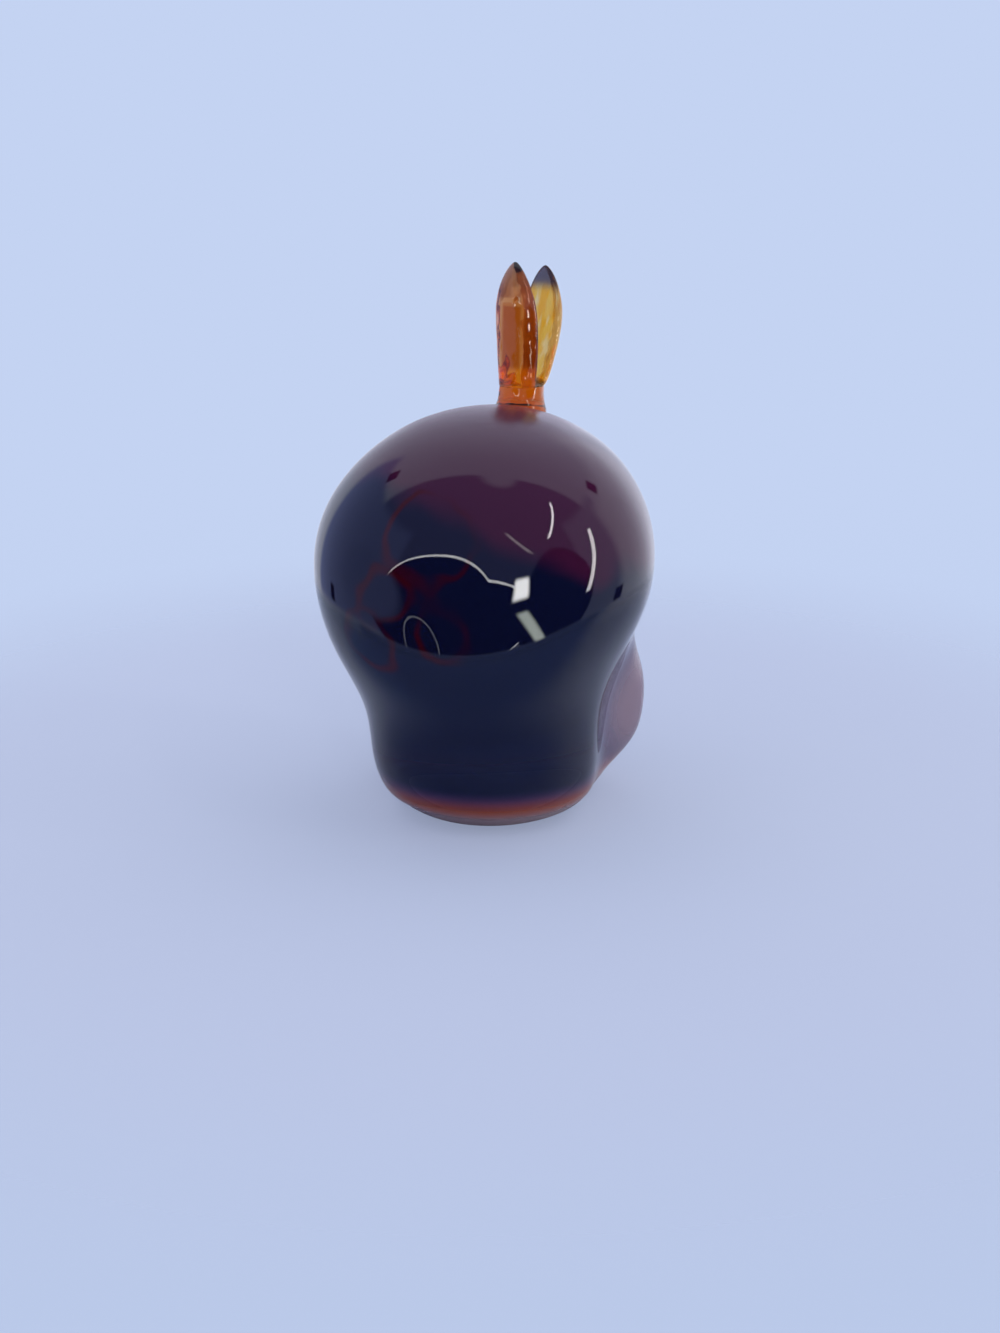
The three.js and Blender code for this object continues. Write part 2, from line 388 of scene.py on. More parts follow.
@dataclass(frozen=True)
class AmberGlass(PolishedGlass):
    """The tail's glass: clear amber drawn into streaks, tinted at the tip, which was cut and reheated."""

    ember_hex: str = "#FF9A3C"
    streak_hex: str = "#FFE6DA"
    streak_mm: tuple[float, float] = (1.5, 16.0)
    streak_span: tuple[float, float] = (0.44, 0.6)
    tip_hex: str = "#9A7A86"
    tip_mm: tuple[float, float] = (85.0, 90.0)

    def skin(self, tree: bpy.types.NodeTree, place: bpy.types.NodeSocket) -> Skin:
        """Streaks the glass along its drawing and tints its tip.

        Args:
            tree: The material's node tree.
            place: Object coordinates.

        Returns:
            The surface's colour and clearness.
        """
        across, along = self.streak_mm
        drawn = add_node(tree, "ShaderNodeMapping", {
            "Vector": place, "Scale": (1 / (across * MM), 1 / (across * MM), 1 / (along * MM))})
        streak = add_node(tree, "ShaderNodeTexNoise", {
            "Vector": drawn.outputs["Vector"], "Scale": 1.0, "Detail": 1.0, "Roughness": 0.5})
        pale = add_node(tree, "ShaderNodeMapRange", {
            "Value": streak.outputs["Fac"], "From Min": self.streak_span[0],
            "From Max": self.streak_span[1]}, interpolation_type="SMOOTHSTEP")
        colour = add_node(tree, "ShaderNodeMix", {
            "Factor": pale.outputs["Result"], UNDER: linear(self.ember_hex), OVER: linear(self.streak_hex)},
            data_type="RGBA").outputs[MIXED]
        height = add_node(tree, "ShaderNodeSeparateXYZ", {"Vector": place}).outputs["Z"]
        towards_tip = add_node(tree, "ShaderNodeMapRange", {
            "Value": height, "From Min": self.tip_mm[0] * MM, "From Max": self.tip_mm[1] * MM},
            interpolation_type="SMOOTHSTEP")
        colour = add_node(tree, "ShaderNodeMix", {
            "Factor": towards_tip.outputs["Result"], UNDER: colour, OVER: linear(self.tip_hex)},
            data_type="RGBA").outputs[MIXED]
        return Skin(colour, self.clear_share)


@dataclass(frozen=True)
class CoredAmberGlass(AmberGlass):
    """Amber glass, orange at its root, with a deeper core that ends square below the tip, under a painted
    highlight that also runs down its sides.
    """

    root_hex: str = "#FFBC48"
    root_mm: tuple[float, float] = (71.6, 73.0)
    core_hex: str = "#C87A28"
    # A painted highlight round the core's top and sides.
    core_highlight_hex: str = "#FAE0D4"
    core_side_mm: tuple[float, float] = (-2.9, 0.6)
    core_top_mm: float = 83.2
    core_side_soft_mm: float = 0.3
    core_top_soft_mm: float = 0.2
    core_share: float = 0.95
    core_highlight_mm: float = 0.7
    flank_mm: float = 0.6

    def skin(self, tree: bpy.types.NodeTree, place: bpy.types.NodeSocket) -> Skin:
        """Lays the core, the painted highlight round its top and sides, and the root over the streaks.

        Args:
            tree: The material's node tree.
            place: Object coordinates.

        Returns:
            The surface's colour and clearness.
        """
        streaked = super().skin(tree, place)
        axes = add_node(tree, "ShaderNodeSeparateXYZ", {"Vector": place})
        left, right = self.core_side_mm
        off = add_node(tree, "ShaderNodeMath", {0: axes.outputs["X"], 1: (left + right) / 2 * MM},
                       operation="SUBTRACT")
        aside = add_node(tree, "ShaderNodeMath", {0: off.outputs[0]}, operation="ABSOLUTE")
        colour = streaked.colour
        # The painted highlight, a pale band, goes round the core's top and sides, so it is laid first, and
        # the core over it.
        blocks = ((self.flank_mm, self.core_highlight_mm, self.core_highlight_hex), (0.0, 0.0, self.core_hex))
        for wider_mm, higher_mm, tint in blocks:
            half_mm, top_mm = (right - left) / 2 + wider_mm, self.core_top_mm + higher_mm
            within = add_node(tree, "ShaderNodeMapRange", {
                "Value": aside.outputs[0], "From Min": (half_mm - self.core_side_soft_mm) * MM,
                "From Max": (half_mm + self.core_side_soft_mm) * MM,
                "To Min": self.core_share, "To Max": 0.0}, interpolation_type="SMOOTHSTEP")
            below = add_node(tree, "ShaderNodeMapRange", {
                "Value": axes.outputs["Z"], "From Min": (top_mm - self.core_top_soft_mm) * MM,
                "From Max": (top_mm + self.core_top_soft_mm) * MM, "To Min": 1.0, "To Max": 0.0})
            share = add_node(tree, "ShaderNodeMath", {
                0: within.outputs["Result"], 1: below.outputs["Result"]}, operation="MULTIPLY")
            colour = add_node(tree, "ShaderNodeMix", {
                "Factor": share.outputs[0], UNDER: colour, OVER: linear(tint)},
                data_type="RGBA").outputs[MIXED]
        root = add_node(tree, "ShaderNodeMapRange", {
            "Value": axes.outputs["Z"], "From Min": self.root_mm[0] * MM, "From Max": self.root_mm[1] * MM,
            "To Min": 1.0, "To Max": 0.0}, interpolation_type="SMOOTHSTEP")
        colour = add_node(tree, "ShaderNodeMix", {
            "Factor": root.outputs["Result"], UNDER: colour, OVER: linear(self.root_hex)},
            data_type="RGBA").outputs[MIXED]
        return Skin(colour, streaked.clear)


RUBY = RubyGlass(
    name="ruby_soda_glass_fire_polished", absorb_hex="#E85038", absorb_per_m=400.0, clear_share=0.955)
BROWN_AMBER = CoredAmberGlass(
    name="brown_amber_soda_glass_fire_polished", absorb_hex="#F6CC00", absorb_per_m=460.0, clear_share=0.985,
    ripple_mm=3.4, ripple_depth_mm=0.5, ember_hex="#AC7450", streak_hex="#E2B8A6", tip_hex="#BE9084")
STRAW_AMBER = AmberGlass(
    name="straw_amber_soda_glass_fire_polished", absorb_hex="#FCDA00", absorb_per_m=140.0, clear_share=0.88,
    ripple_mm=3.4, ripple_depth_mm=0.25, ember_hex="#FFC440", streak_hex="#FFEAB4", tip_hex="#6A6474",
    tip_mm=(84.5, 87.0))


@dataclass(frozen=True)
class Ring:
    """One ring of a lofted piece, in millimetres.

    Half is half its width along X, before and behind are its reaches along Y from its widest line, which is
    at x and y, and tilt is how far it is turned about that line, in radians, down at the rear.
    """

    level: float
    half: float
    before: float
    behind: float
    x: float = 0.0
    y: float = 0.0
    tilt: float = 0.0


class Bench:
    """A glass bench: pieces are drawn up ring by ring from a round gather, and finished there."""

    @staticmethod
    def clear() -> None:
        """Leaves edit mode and deselects everything."""
        if bpy.context.object and bpy.context.object.mode != "OBJECT":
            bpy.ops.object.mode_set(mode="OBJECT")
        bpy.ops.object.select_all(action="DESELECT")

    @classmethod
    def take(cls, piece: bpy.types.Object) -> None:
        """Selects one piece alone and makes it the active one.

        Args:
            piece: The object.
        """
        cls.clear()
        piece.select_set(True)
        bpy.context.view_layer.objects.active = piece

    @staticmethod
    def _drop(mesh: bmesh.types.BMesh) -> None:
        """Deselects every point, edge and face.

        Args:
            mesh: The mesh in edit mode.
        """
        for geometry in (mesh.verts, mesh.edges, mesh.faces):
            for element in geometry:
                element.select_set(False)

    @classmethod
    def pick(cls, piece: bpy.types.Object, wanted: Callable[[Vector], bool],
             among: list[int] | None = None) -> None:
        """Selects the points of a piece in edit mode that a test takes.

        Args:
            piece: The object in edit mode.
            wanted: A test on a point's place, in metres.
            among: The indices of the points to choose from, or None for all.
        """
        mesh = bmesh.from_edit_mesh(piece.data)
        mesh.verts.ensure_lookup_table()
        cls._drop(mesh)
        points = mesh.verts if among is None else [mesh.verts[index] for index in among]
        for point in points:
            if wanted(point.co):
                point.select_set(True)
        mesh.select_flush(True)
        bmesh.update_edit_mesh(piece.data)

    @classmethod
    def loft(cls, name: str, rings: list[Ring], sides: int, rear_taper: float = 0.0) -> bpy.types.Object:
        """Draws a closed piece up from a round gather, ring by ring, and stays in edit mode.

        Args:
            name: The piece's name.
            rings: The rings, from the lowest up.
            sides: Points around each ring.
            rear_taper: The share of its width that the rear end of every ring is drawn in by.

        Returns:
            The object, in edit mode.
        """
        cls.clear()
        first = rings[0]
        bpy.ops.mesh.primitive_circle_add(vertices=sides, radius=first.half * MM, fill_type="NGON")
        piece = bpy.context.object
        piece.name = name
        piece.data.name = name
        bpy.ops.object.mode_set(mode="EDIT")
        bpy.ops.mesh.select_mode(type="VERT")
        radius = first.half * MM
        for step in range(1, sides // 4 + 1):
            reach = radius * math.sin(2 * math.pi * step / sides)
            cls.pick(piece, lambda p, y=reach: abs(p.y - y) < radius * ROW_SHARE)
            bpy.ops.transform.resize(value=(1 - rear_taper * (reach / radius) ** 2, 1, 1),
                                     center_override=(0, 0, 0))
        last = Ring(0.0, first.half, first.half, first.half)
        cls.pick(piece, lambda p: True)
        cls._shape(piece, last, first)
        for lower, upper in zip(rings, rings[1:]):
            bpy.ops.mesh.extrude_region_move(TRANSFORM_OT_translate={"value": (0, 0, 0)})
            cls._shape(piece, lower, upper)
        bpy.ops.mesh.select_all(action="SELECT")
        bpy.ops.mesh.normals_make_consistent(inside=False)
        return piece

    @classmethod
    def _shape(cls, piece: bpy.types.Object, old: Ring, new: Ring) -> None:
        """Brings the selected ring from one shape and place to another.

        Args:
            piece: The object in edit mode, with the ring selected.
            old: The ring's present shape.
            new: The shape that it gets.
        """
        mesh = bmesh.from_edit_mesh(piece.data)
        ring = [v.index for v in mesh.verts if v.select]
        if old.tilt:
            bpy.ops.transform.rotate(value=-old.tilt, orient_axis="X",
                                     center_override=(old.x * MM, old.y * MM, old.level * MM))
        bpy.ops.transform.translate(value=((new.x - old.x) * MM, (new.y - old.y) * MM,
                                           (new.level - old.level) * MM))
        centre = (new.x * MM, new.y * MM, new.level * MM)
        bpy.ops.transform.resize(value=(new.half / old.half, 1, 1), center_override=centre)
        for sign, ratio in ((-1, new.before / old.before), (1, new.behind / old.behind)):
            cls.pick(piece, lambda p, s=sign: s * (p.y - centre[1]) > TOUCH, ring)
            bpy.ops.transform.resize(value=(1, ratio, 1), center_override=centre)
        cls.pick(piece, lambda p: True, ring)
        if new.tilt:
            bpy.ops.transform.rotate(value=new.tilt, orient_axis="X", center_override=centre)

    @classmethod
    def hold_flat(cls, piece: bpy.types.Object, upward: bool, width_mm: float) -> None:
        """Insets a flat end, so that it stays flat and its rim tight when the piece is smoothed.

        Args:
            piece: The object in edit mode.
            upward: True for the end that faces up, False for the one that faces down.
            width_mm: How far in the flat is held.
        """
        mesh = bmesh.from_edit_mesh(piece.data)
        cls._drop(mesh)
        ends = [f for f in mesh.faces if len(f.verts) > 4]
        end = max(ends, key=lambda f: f.calc_center_median().z * (1 if upward else -1))
        end.select_set(True)
        bmesh.update_edit_mesh(piece.data)
        bpy.ops.mesh.inset(thickness=width_mm * MM)
        bpy.ops.mesh.inset(thickness=width_mm * MM)

    @staticmethod
    def smooth(piece: bpy.types.Object, levels: int) -> None:
        """Leaves edit mode and subdivides a piece.

        Args:
            piece: The object.
            levels: Subdivision steps.
        """
        if piece.mode != "OBJECT":
            bpy.ops.object.mode_set(mode="OBJECT")
        rounded = piece.modifiers.new("fire_polish", "SUBSURF")
        rounded.levels = levels
        rounded.render_levels = levels
        bpy.ops.object.modifier_apply(modifier=rounded.name)

    @classmethod
    def finish(cls, piece: bpy.types.Object, node: str, slot: Slot, material: bpy.types.Material) -> None:
        """Shades a piece, dresses it and sets it in the frame.

        Args:
            piece: The finished object.
            node: The CAD node that it stands for.
            slot: The record's material slot; not used.
            material: Its glass.
        """
        cls.take(piece)
        bpy.ops.object.shade_smooth_by_angle(angle=CREASE)
        piece.data.materials.clear()
        piece.data.materials.append(material)
        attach(piece, "root")
        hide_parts(node)
        log.info("%s: %d faces", piece.name, len(piece.data.polygons))


@dataclass
class WhaleBody:
    """The solid ruby body: head, throat, side lobes, back and the flat that it rests on. Millimetres.

    Head, throat and rest each hold a width, a length, how far the front is before the datum, and how far the
    widest line is behind it.
    """

    datum: float = -9.0
    crown_level: float = 68.0
    crown_setback: float = 9.0
    head: tuple[float, float, float, float] = (58.0, 74.0, 28.0, -1.0)
    head_level: float = 43.5
    face_level: float = 32.0
    throat: tuple[float, float, float, float] = (39.5, 50.0, 20.0, -3.0)
    throat_level: float = 14.0
    rest: tuple[float, float, float, float] = (27.0, 33.0, 10.0, 8.0)
    rest_shift: float = 1.2
    back_fullness: float = 1.2
    rear_taper: float = 0.15
    lobe_swell: float = 11.7
    lobe_level: float = 15.5
    lobe_height: float = 23.0
    lobe_setback: float = 18.5
    lobe_length: float = 20.0
    lobe_powers: tuple[int, int] = (3, 4)
    least_swell: float = 0.02
    row_touch: float = 0.02
    wave_length: float = 22.0
    wave_height: float = 1.2
    wave_from: float = 4.0
    flat_hold: float = 0.8
    crown_cap: float = 0.02
    level_step: float = 1e-4
    cutter_height: float = 20.0
    cutter_sides: int = 64
    sides: int = 40
    rings: tuple[int, int, int] = (6, 7, 9)

    def size(self, level: float, measure: Measure) -> float:
        """Gives a measure of the body below the crown.

        Args:
            level: The height.
            measure: The measure that is wanted.

        Returns:
            The size.
        """
        rest, throat, head = (sizes[measure.value] for sizes in (self.rest, self.throat, self.head))
        head_level = self.face_level if measure is Measure.FRONT else self.head_level
        if level >= head_level:
            return head
        if level >= self.throat_level:
            return ease(throat, head, (level - self.throat_level) / (head_level - self.throat_level))
        return rest + (throat - rest) * quarter_round((self.throat_level - level) / self.throat_level)

    def ring(self, level: float) -> Ring:
        """Gives the body's ring at a level, before the lobes are swelled out.

        Args:
            level: The height.

        Returns:
            The ring.
        """
        rise = max(0.0, (level - self.head_level) / (self.crown_level - self.head_level))
        closing = quarter_round(rise)
        face_rise = max(0.0, (level - self.face_level) / (self.crown_level - self.face_level))
        widest = self.size(level, Measure.SETBACK)
        if level >= self.head_level:
            widest = self.crown_setback + closing * (widest - self.crown_setback)
        front = self.size(level, Measure.FRONT)
        rear = self.size(level, Measure.LENGTH) - front
        return Ring(
            level=level,
            half=closing * self.size(level, Measure.WIDTH) / 2,
            before=quarter_round(face_rise) * (front + widest),
            behind=quarter_round(rise, self.back_fullness) * (rear - widest),
            x=ease(self.rest_shift, 0.0, min(1.0, level / self.head_level)),
            y=self.datum + widest)

    def back_level(self, setback: float) -> float:
        """Finds how high the back is, on the middle plane.

        Args:
            setback: The distance behind the datum.

        Returns:
            The level of the back there.
        """
        low, high = self.head_level, self.crown_level
        while high - low > self.level_step:
            middle = (low + high) / 2
            ring = self.ring(middle)
            if ring.y - self.datum + ring.behind > setback:
                low = middle
            else:
                high = middle
        return low

    def build(self, tail: "WhaleTail") -> bpy.types.Object:
        """Models the body, with the seat for the tail.

        Args:
            tail: The tail that it carries.

        Returns:
            The body's object.
        """
        low, middle, high = self.rings
        throat_rise = self.head_level - self.throat_level
        head_rise = self.crown_level - self.head_level
        levels = [self.throat_level * (1 - quarter_round(math.sin(math.pi / 2 * i / low)))
                  for i in range(low)]
        levels += [self.throat_level + throat_rise * i / middle for i in range(middle)]
        levels += [self.head_level + head_rise * math.sin(math.pi / 2 * i / high) for i in range(high)]
        levels.append(self.crown_level - self.crown_cap)
        body = Bench.loft("body_glass", [self.ring(level) for level in levels], self.sides, self.rear_taper)
        self._swell_lobes(body, levels)
        Bench.hold_flat(body, upward=False, width_mm=self.flat_hold)
        Bench.smooth(body, levels=1)
        self._ripple(body)
        Bench.smooth(body, levels=2)
        self._cut_seat(body, tail)
        return body

    def _swell_lobes(self, body: bpy.types.Object, levels: list[float]) -> None:
        """Swells the two side lobes out of the trunk, one row of points at a time.

        Args:
            body: The body's object, in edit mode.
            levels: The levels of its rings.
        """
        quarter = self.sides // 4
        upright, along = self.lobe_powers
        for level in levels:
            ring = self.ring(level)
            for step in range(1 - quarter, quarter):
                share = math.sin(math.pi / 2 * step / quarter)
                reach = share * (ring.before if step < 0 else ring.behind)
                swell = (self.lobe_swell * mound(level, self.lobe_level, self.lobe_height, upright)
                         * mound(ring.y - self.datum + reach, self.lobe_setback, self.lobe_length, along))
                if swell < self.least_swell:
                    continue
                half = ring.half * (1 if step < 0 else 1 - self.rear_taper * share * share)
                row = Vector((ring.y + reach, level)) * MM
                Bench.pick(body, lambda p, r=row: (p.yz - r).length < self.row_touch * MM)
                bpy.ops.transform.resize(value=(1 + swell / half, 1, 1),
                                         center_override=(ring.x * MM, 0, 0))

    def _ripple(self, body: bpy.types.Object) -> None:
        """Gives the hand-formed skin its slow unevenness, above the ground flat.

        Args:
            body: The body's object.
        """
        bpy.ops.object.mode_set(mode="EDIT")
        Bench.pick(body, lambda p: p.z > self.wave_from * MM)
        bpy.ops.object.vertex_group_add()
        bpy.ops.object.vertex_group_assign()
        bpy.ops.object.mode_set(mode="OBJECT")
        clouds = bpy.data.textures.new("hand_formed", "CLOUDS")
        clouds.noise_scale = self.wave_length * MM
        clouds.noise_depth = 0
        uneven = body.modifiers.new("hand_formed", "DISPLACE")
        uneven.texture = clouds
        uneven.texture_coords = "LOCAL"
        uneven.mid_level = 0.5
        uneven.strength = self.wave_height * MM
        uneven.vertex_group = body.vertex_groups[0].name
        bpy.ops.object.modifier_apply(modifier=uneven.name)
        bpy.ops.object.vertex_group_remove(all=True)

    def _cut_seat(self, body: bpy.types.Object, tail: "WhaleTail") -> None:
        """Cuts the seat that the tail's foot is sunk into.

        Args:
            body: The body's object.
            tail: The tail that it carries.
        """
        Bench.clear()
        bpy.ops.mesh.primitive_cylinder_add(
            vertices=self.cutter_sides, radius=(tail.foot_width / 2 - tail.joint_lap) * MM,
            depth=self.cutter_height * MM, location=(0, 0, self.cutter_height / 2 * MM))
        cutter = bpy.context.object
        bpy.ops.object.transform_apply(location=True, rotation=False, scale=False)
        cutter.rotation_euler = (-math.atan(tail.seat_slope(self)), 0, 0)
        cutter.location = Vector((0, tail.middle(self, tail.seat_level(self)), tail.seat_level(self))) * MM
        Bench.take(body)
        seat = body.modifiers.new("tail_seat", "BOOLEAN")
        seat.operation = "DIFFERENCE"
        seat.solver = "EXACT"
        seat.object = cutter
        bpy.ops.object.modifier_apply(modifier=seat.name)
        Bench.take(cutter)
        bpy.ops.object.delete()


@dataclass
class Leaf:
    """One leaf of the tail, in millimetres.

    Side is 1 for the front leaf and -1 for the rear one, and swing is how much fuller it is on one edge.
    """

    name: str
    node: str
    side: int
    spread: float
    flare: float
    rise: float
    tip: float
    width: float
    outer: float
    inner: float
    swing: float = 0.0


@dataclass
class WhaleTail:
    """The amber tail: a stem with a flared foot, and two leaves that open from it. Millimetres.

    The pieces were fused hot, so each laps a hair into the next, and light passes without a seam.
    """

    setback: float = 25.5
    lean: float = math.radians(12)
    seat_depth: float = 1.6
    cad_gap: float = 0.3
    joint_lap: float = 0.05
    settle: float = 0.6
    foot_width: float = 9.4
    stem_height: float = 4.5
    split_turn: float = math.radians(28)
    root_width: float = 7.6
    tip_fullness: float = 0.8
    tip_cap: float = 0.03
    # The stem's outline, in heights and shares of the foot's width: flare from its foot, neck from its top.
    flare: tuple[tuple[float, float], ...] = (
        (0.0, 0.97), (0.25, 0.99), (1.3, 0.99), (1.75, 0.97), (2.15, 0.93), (2.7, 0.9), (3.4, 0.875),
        (4.2, 0.86))
    neck: tuple[tuple[float, float], ...] = ((-0.2, 0.852), (0.0, 0.846))
    stem_hold: float = 0.25
    leaf_hold: float = 0.2
    stem_sides: int = 32
    leaf_sides: int = 24
    leaf_root: tuple[float, ...] = (0.0, 0.2, 0.8, 1.8)
    leaf_rings: tuple[int, int] = (6, 7)
    swing_power: float = 0.7
    leaves: list[Leaf] = field(default_factory=lambda: [
        Leaf(name="front_fluke_glass", node="front_fluke", side=1, spread=3.4, flare=0.6, rise=13.0, tip=8.3,
             width=8.2, outer=3.0, inner=1.0, swing=1.2),
        Leaf(name="rear_fluke_glass", node="rear_fluke", side=-1, spread=4.6, flare=1.0, rise=11.0, tip=9.3,
             width=9.2, outer=2.6, inner=0.8)])

    def seat_slope(self, body: WhaleBody) -> float:
        """Gives the fall of the back across the foot."""
        half = self.foot_width / 2
        fall = body.back_level(self.setback - half) - body.back_level(self.setback + half)
        return fall / self.foot_width

    def seat_level(self, body: WhaleBody) -> float:
        """Gives the level of the middle of the seat's floor."""
        half = self.foot_width / 2
        rim = (body.back_level(self.setback - half) + body.back_level(self.setback + half)) / 2
        return rim - self.seat_depth + self.cad_gap + self.joint_lap - self.settle

    def stem_bottom(self, body: WhaleBody) -> float:
        """Gives the level of the middle of the stem's foot."""
        return self.seat_level(body) - self.joint_lap

    def middle(self, body: WhaleBody, level: float) -> float:
        """Gives the tail's middle line along Y at a level: it leans backwards from its foot."""
        return body.datum + self.setback + (level - self.stem_bottom(body)) * math.tan(self.lean)

    def build_stem(self, body: WhaleBody) -> bpy.types.Object:
        """Models the stem.

        Args:
            body: The body that carries it.

        Returns:
            The stem's object.
        """
        bottom = self.stem_bottom(body)
        top = self.settle + self.stem_height + self.cad_gap + self.joint_lap
        slope = math.atan(self.seat_slope(body))
        neck = [(top + rise, share) for rise, share in self.neck]
        rings = []
        for height, share in [*self.flare, *neck]:
            half = share * self.foot_width / 2
            level = bottom + height
            rings.append(Ring(level, half, half, half, y=self.middle(body, level),
                              tilt=slope * max(0.0, 1 - height / top)))
        stem = Bench.loft("tail_stem_glass", rings, self.stem_sides)
        Bench.hold_flat(stem, upward=False, width_mm=self.stem_hold)
        Bench.hold_flat(stem, upward=True, width_mm=self.stem_hold)
        Bench.smooth(stem, levels=2)
        return stem

    def build_leaf(self, body: WhaleBody, leaf: Leaf) -> bpy.types.Object:
        """Models one leaf.

        Args:
            body: The body that carries the tail.
            leaf: The leaf's sizes.

        Returns:
            The leaf's object.
        """
        bottom = self.stem_bottom(body) + self.settle + self.stem_height + self.cad_gap
        turn = -self.split_turn if leaf.side > 0 else math.pi - self.split_turn
        root = leaf.inner - self.joint_lap
        total = leaf.rise + leaf.tip
        low, high = self.leaf_rings
        heights = [*self.leaf_root, *(leaf.rise * i / low for i in range(2, low))]
        heights += [leaf.rise + leaf.tip * math.sin(math.pi / 2 * i / high) for i in range(high)]
        heights.append(total - self.tip_cap)
        rings = []
        for height in heights:
            closing = quarter_round(max(0.0, (height - leaf.rise) / leaf.tip), self.tip_fullness)
            fuller = closing * leaf.swing / 2 * math.sin(math.pi * (height / total) ** self.swing_power)
            half = closing * ease(self.root_width, leaf.width, min(1.0, height / leaf.rise)) / 2 + fuller
            offset = root + (leaf.spread - root) * quarter_round(1 - height / total, leaf.flare)
            level = bottom + height
            lean = self.middle(body, level) - self.middle(body, self.stem_bottom(body))
            rings.append(Ring(level, half, closing * leaf.outer, closing * leaf.inner,
                              x=lean * math.sin(turn) + fuller, y=lean * math.cos(turn) - offset))
        piece = Bench.loft(leaf.name, rings, self.leaf_sides)
        Bench.hold_flat(piece, upward=False, width_mm=self.leaf_hold)
        Bench.smooth(piece, levels=3)
        piece.rotation_euler = (0, 0, turn)
        piece.location = (0, (body.datum + self.setback) * MM, 0)
        Bench.take(piece)
        bpy.ops.object.transform_apply(location=True, rotation=True, scale=True)
        return piece


@dataclass(frozen=True)
class Panel:
    """One soft panel of the light tent, by where it stands around the object, in degrees.

    Left and right are measured from the front, to the right, and low and high from the level. A panel that
    leans goes to the right as it rises, by that many degrees for each one, and an arched one is an oval.
    """

    left: float
    right: float
    low: float
    high: float
    soft: float
    colour_hex: str
    strength: float = 1.0
    lean: float = 0.0
    arched: bool = False


@dataclass
class Studio:
    """A plain light tent: a pale floor, soft light all round, and an open front where the camera stands."""

    floor_hex: str = "#C3CAD9"
    floor_seen_hex: str = "#B8C4E4"
    floor_mirrored_hex: str = "#7C90BC"
    floor_radius_mm: float = 400.0
    floor_fade_mm: tuple[float, float] = (85.0, 190.0)
    floor_ahead_mm: tuple[float, float] = (-40.0, -10.0)
    floor_seen_share: float = 0.5
    low_hex: str = "#BACAEA"
    high_hex: str = "#C4D3F2"
    climb_degrees: tuple[float, float] = (-32.0, -10.0)
    roof_side_m: float = 1.4
    roof_watts: float = 4.0
    roof_place_m: tuple[float, float, float] = (0.05, -0.05, 0.7)
    camera_turn: float = math.radians(15)
    camera_rise: float = math.radians(17)
    distance_mm: float = 300.0
    sensor_mm: float = 36.0
    mm_per_pixel: float = 0.168
    frame_px: tuple[int, int] = (1000, 1333)
    head_px: tuple[float, float] = (482.0, 560.0)
    head_mm: tuple[float, float, float] = (0.0, -9.0, 43.5)
    tent_hex: str = "#E2E8FF"
    panels: tuple[Panel, ...] = (
        # The tent's dim front roof, its two side walls and its bright rear wall.
        Panel(-84, 108, 14, 82, 3.0, "#7A80A4"),
        Panel(-126, -40, -14, 44, 3.0, "#9CA8DE"),
        Panel(76, 122, -20, 44, 3.0, "#B0BADA"),
        Panel(112, 178, -16, 38, 6.0, "#E8ECFF", strength=1.25),
        # The open front: three dark ovals that overlap, in thin rims, with part of the left wall over them.
        Panel(-50.4, 18.4, -37, 37.2, 0.02, "#FFFFFF", strength=9.0, arched=True),
        Panel(-58, 40.4, -27, 27, 0.02, "#FFFFFF", strength=9.0, arched=True),
        Panel(31, 85, -26, 34, 0.02, "#3A4258", arched=True),
        Panel(-50, 18, -36, 36.2, 0.02, "#000000", arched=True),
        Panel(-60, 40, -26, 26, 0.02, "#000000", arched=True),
        Panel(32, 84, -26, 33, 0.02, "#000000", arched=True),
        Panel(-89, -35, -8, 25, 0.35, "#94A0D4", arched=True),
        # A thin bright loop in the dark.
        Panel(-36, -14, -29, 4, 0.02, "#FFFFFF", strength=1.6, arched=True),
        Panel(-35.2, -14.8, -28, 3, 0.02, "#12121A", arched=True),
        # The sheet below, darker in front and brighter at the right rear.
        Panel(-180, 180, -90, -15, 1.5, "#BACAEA"),
        Panel(-72, 96, -90, -15, 1.5, "#7C90BC"),
        Panel(104, 180, -90, -14, 4.0, "#E8ECFF", strength=1.1),
        # Four dark ties at the corners of the walls.
        Panel(107, 115, -14, -7, 1.0, "#2A1A22"),
        Panel(130, 138, 37, 43, 1.0, "#2A1A22"),
        Panel(-112, -104, 43, 49, 1.0, "#2A1A22"),
        Panel(-104, -98, -12, -6, 1.0, "#2A1A22"),
        # A lamp, and slits in the cloth that let light in.
        Panel(26, 35, 12, 22, 1.5, "#FFFFFF", strength=18.0),
        Panel(77.5, 81, 2, 34, 0.8, "#FFFFFF", strength=11.0, lean=0.5),
        Panel(-6, -3, 40, 58, 0.8, "#FFFFFF", strength=14.0, lean=1.56),
        Panel(91.5, 94.5, 34, 47, 1.5, "#FFFFFF", strength=3.0, lean=-1.6),
        Panel(34, 40, -15, 5, 1.5, "#E4EEE2", strength=8.0, lean=-0.83),
    )

    def camera(self) -> None:
        """Sets the camera, with the middle of the head at its pixel."""
        turn, rise = self.camera_turn, self.camera_rise
        lens = bpy.data.cameras.new("camera")
        lens.sensor_fit = "AUTO"
        lens.sensor_width = self.sensor_mm
        lens.lens = self.distance_mm / self.mm_per_pixel * self.sensor_mm / max(self.frame_px)
        lens.clip_start = 0.01
        camera = bpy.data.objects.new("camera", lens)
        bpy.context.scene.collection.objects.link(camera)
        towards = Vector((math.sin(turn) * math.cos(rise), -math.cos(turn) * math.cos(rise), math.sin(rise)))
        right = Vector((math.cos(turn), math.sin(turn), 0))
        up = towards.cross(right)
        aside = (self.head_px[0] - self.frame_px[0] / 2) * self.mm_per_pixel
        above = (self.frame_px[1] / 2 - self.head_px[1]) * self.mm_per_pixel
        place = Vector(self.head_mm) + towards * self.distance_mm - right * aside - up * above
        camera.location = place * MM
        camera.rotation_euler = Euler((math.pi / 2 - rise, 0, turn))
        bpy.context.scene.camera = camera

